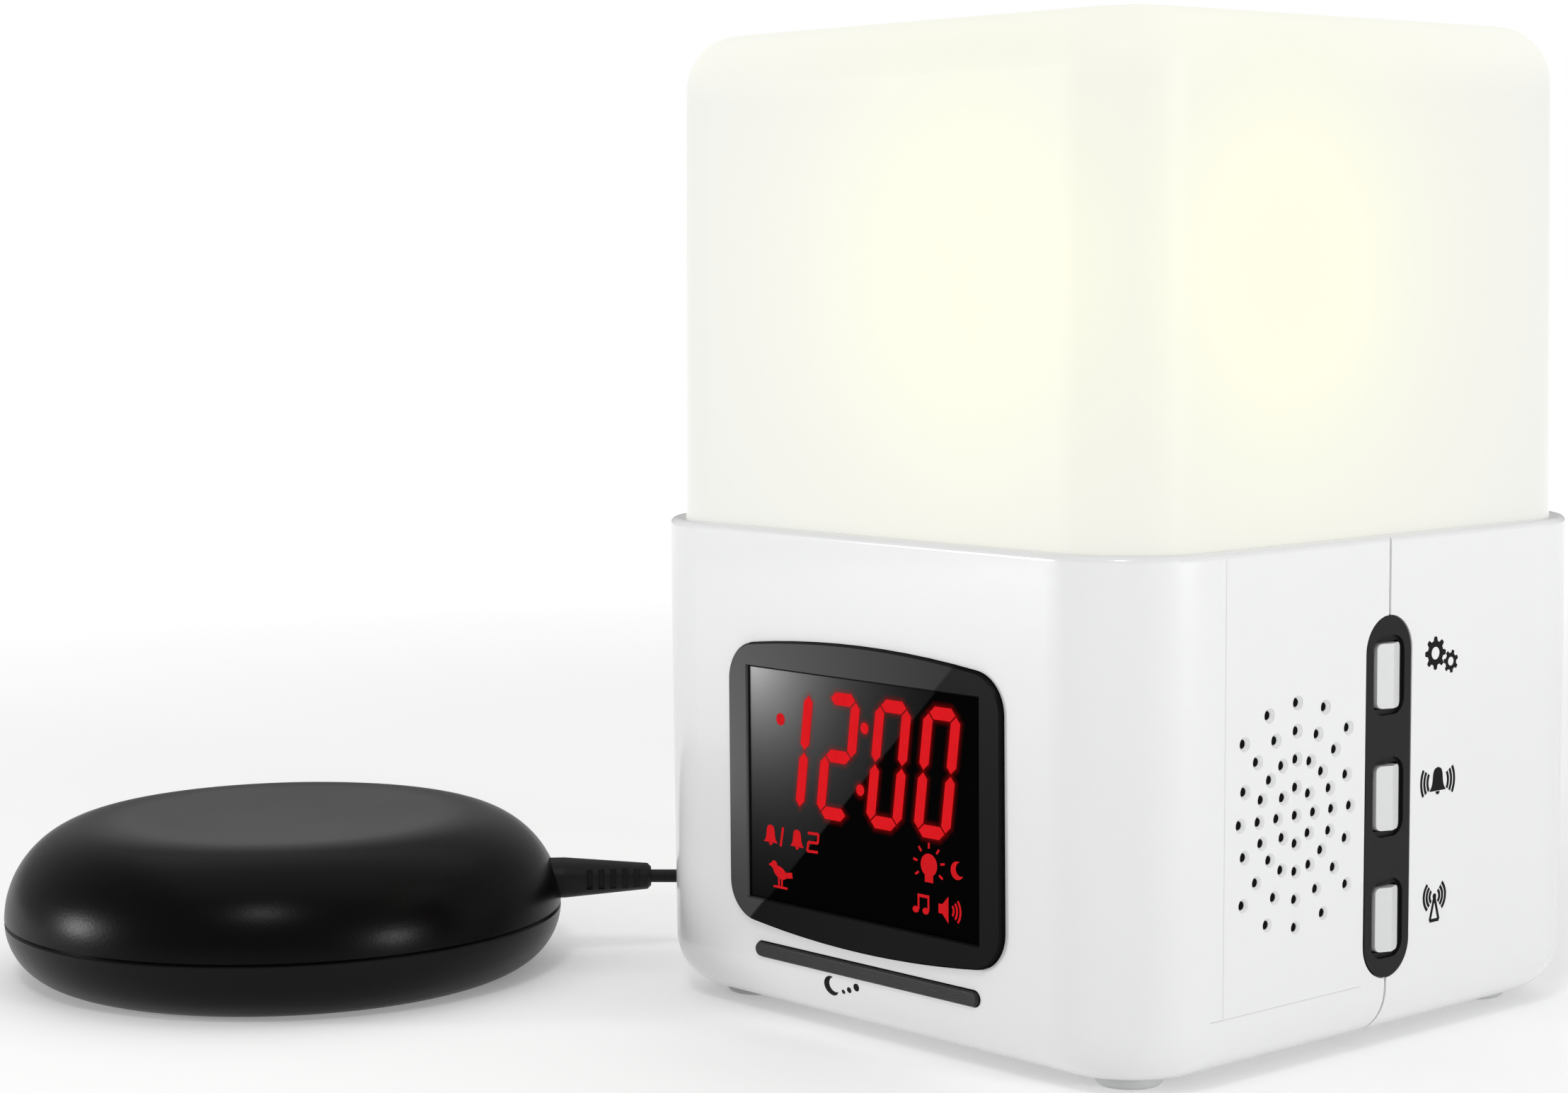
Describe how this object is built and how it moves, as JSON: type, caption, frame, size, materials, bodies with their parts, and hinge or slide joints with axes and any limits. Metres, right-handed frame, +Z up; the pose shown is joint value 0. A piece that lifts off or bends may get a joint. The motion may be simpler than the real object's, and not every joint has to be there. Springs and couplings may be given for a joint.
{
  "type": "bed shaker alarm clock",
  "caption": "White cube alarm clock with a glowing lamp top, dark display and side buttons, with a black bed shaker.",
  "frame": {"origin": "on the table, below the middle of the clock's base", "axes": "+Z up, -Y out of the display, +X out of the loudspeaker and side buttons"},
  "size_m": [0.2106, 0.2593, 0.153],
  "materials": {
    "housing": "gloss",
    "feet": "matte",
    "diffuser": "satin",
    "tray": "satin",
    "bezel": "gloss",
    "window": "gloss",
    "snooze": "matte",
    "strip": "satin",
    "buttons": "satin",
    "boards": "satin",
    "leds": "satin",
    "sockets": "satin",
    "speaker": "satin",
    "cone": "matte",
    "screws": "satin",
    "cells": "satin",
    "shaker_top": "satin",
    "shaker_base": "satin",
    "weight": "satin",
    "rubber": "matte"
  },
  "bodies": {
    "clock": {"front_housing": "housing", "rear_housing": "housing", "feet": "feet", "diffuser": "diffuser", "lamp_tray": "tray", "lamp_post": "tray", "motor_cradle": "tray", "display_bezel": "bezel", "display_module": "bezel", "display_window": "window", "button_strip": "strip", "display_board": "boards", "side_board": "boards", "main_board": "boards", "led_strips": "boards", "lamp_leds": "leds", "snooze_switch": "sockets", "side_switches": "sockets", "dc_jack": "sockets", "shaker_jack": "sockets", "speaker_frame": "speaker", "speaker_magnet": "speaker", "motor": "speaker", "speaker_cone": "cone", "case_screws": "screws", "shaker_screws": "screws", "plug_pin": "screws", "cell_contacts": "screws", "backup_cells": "cells", "shaker_upper": "shaker_top", "shaker_lower": "shaker_base", "strain_relief": "rubber", "cord": "rubber", "cord_coil": "rubber", "cord_tail": "rubber", "shaker_plug": "rubber", "coil_tie": "rubber"},
    "snooze": {"snooze_bar": "snooze"},
    "set_button": {"set_button": "buttons"},
    "alarm_button": {"alarm_button": "buttons"},
    "radio_button": {"radio_button": "buttons"},
    "eccentric": {"eccentric_weight": "weight", "motor_shaft": "speaker"},
    "battery_door": {"battery_door": "housing"}
  },
  "joints": [
    {"name": "snooze_press", "type": "slide", "parent": "clock", "child": "snooze", "axis": [0, 1, 0], "range_m": [0, 0.0008], "stiffness_N_per_m": 600},
    {"name": "set_press", "type": "slide", "parent": "clock", "child": "set_button", "axis": [-1, 0, 0], "range_m": [0, 0.0008], "stiffness_N_per_m": 600},
    {"name": "alarm_press", "type": "slide", "parent": "clock", "child": "alarm_button", "axis": [-1, 0, 0], "range_m": [0, 0.0008], "stiffness_N_per_m": 600},
    {"name": "radio_press", "type": "slide", "parent": "clock", "child": "radio_button", "axis": [-1, 0, 0], "range_m": [0, 0.0008], "stiffness_N_per_m": 600},
    {"name": "weight_spin", "type": "hinge", "parent": "clock", "child": "eccentric", "pos_m": [-0.1086, -0.0867, 0.0126], "axis": [-0.788, 0.6157, 0], "continuous": true},
    {"name": "door_pull", "type": "slide", "parent": "clock", "child": "battery_door", "axis": [0, 0, -1], "range_m": [0, 0.012]}
  ]
}
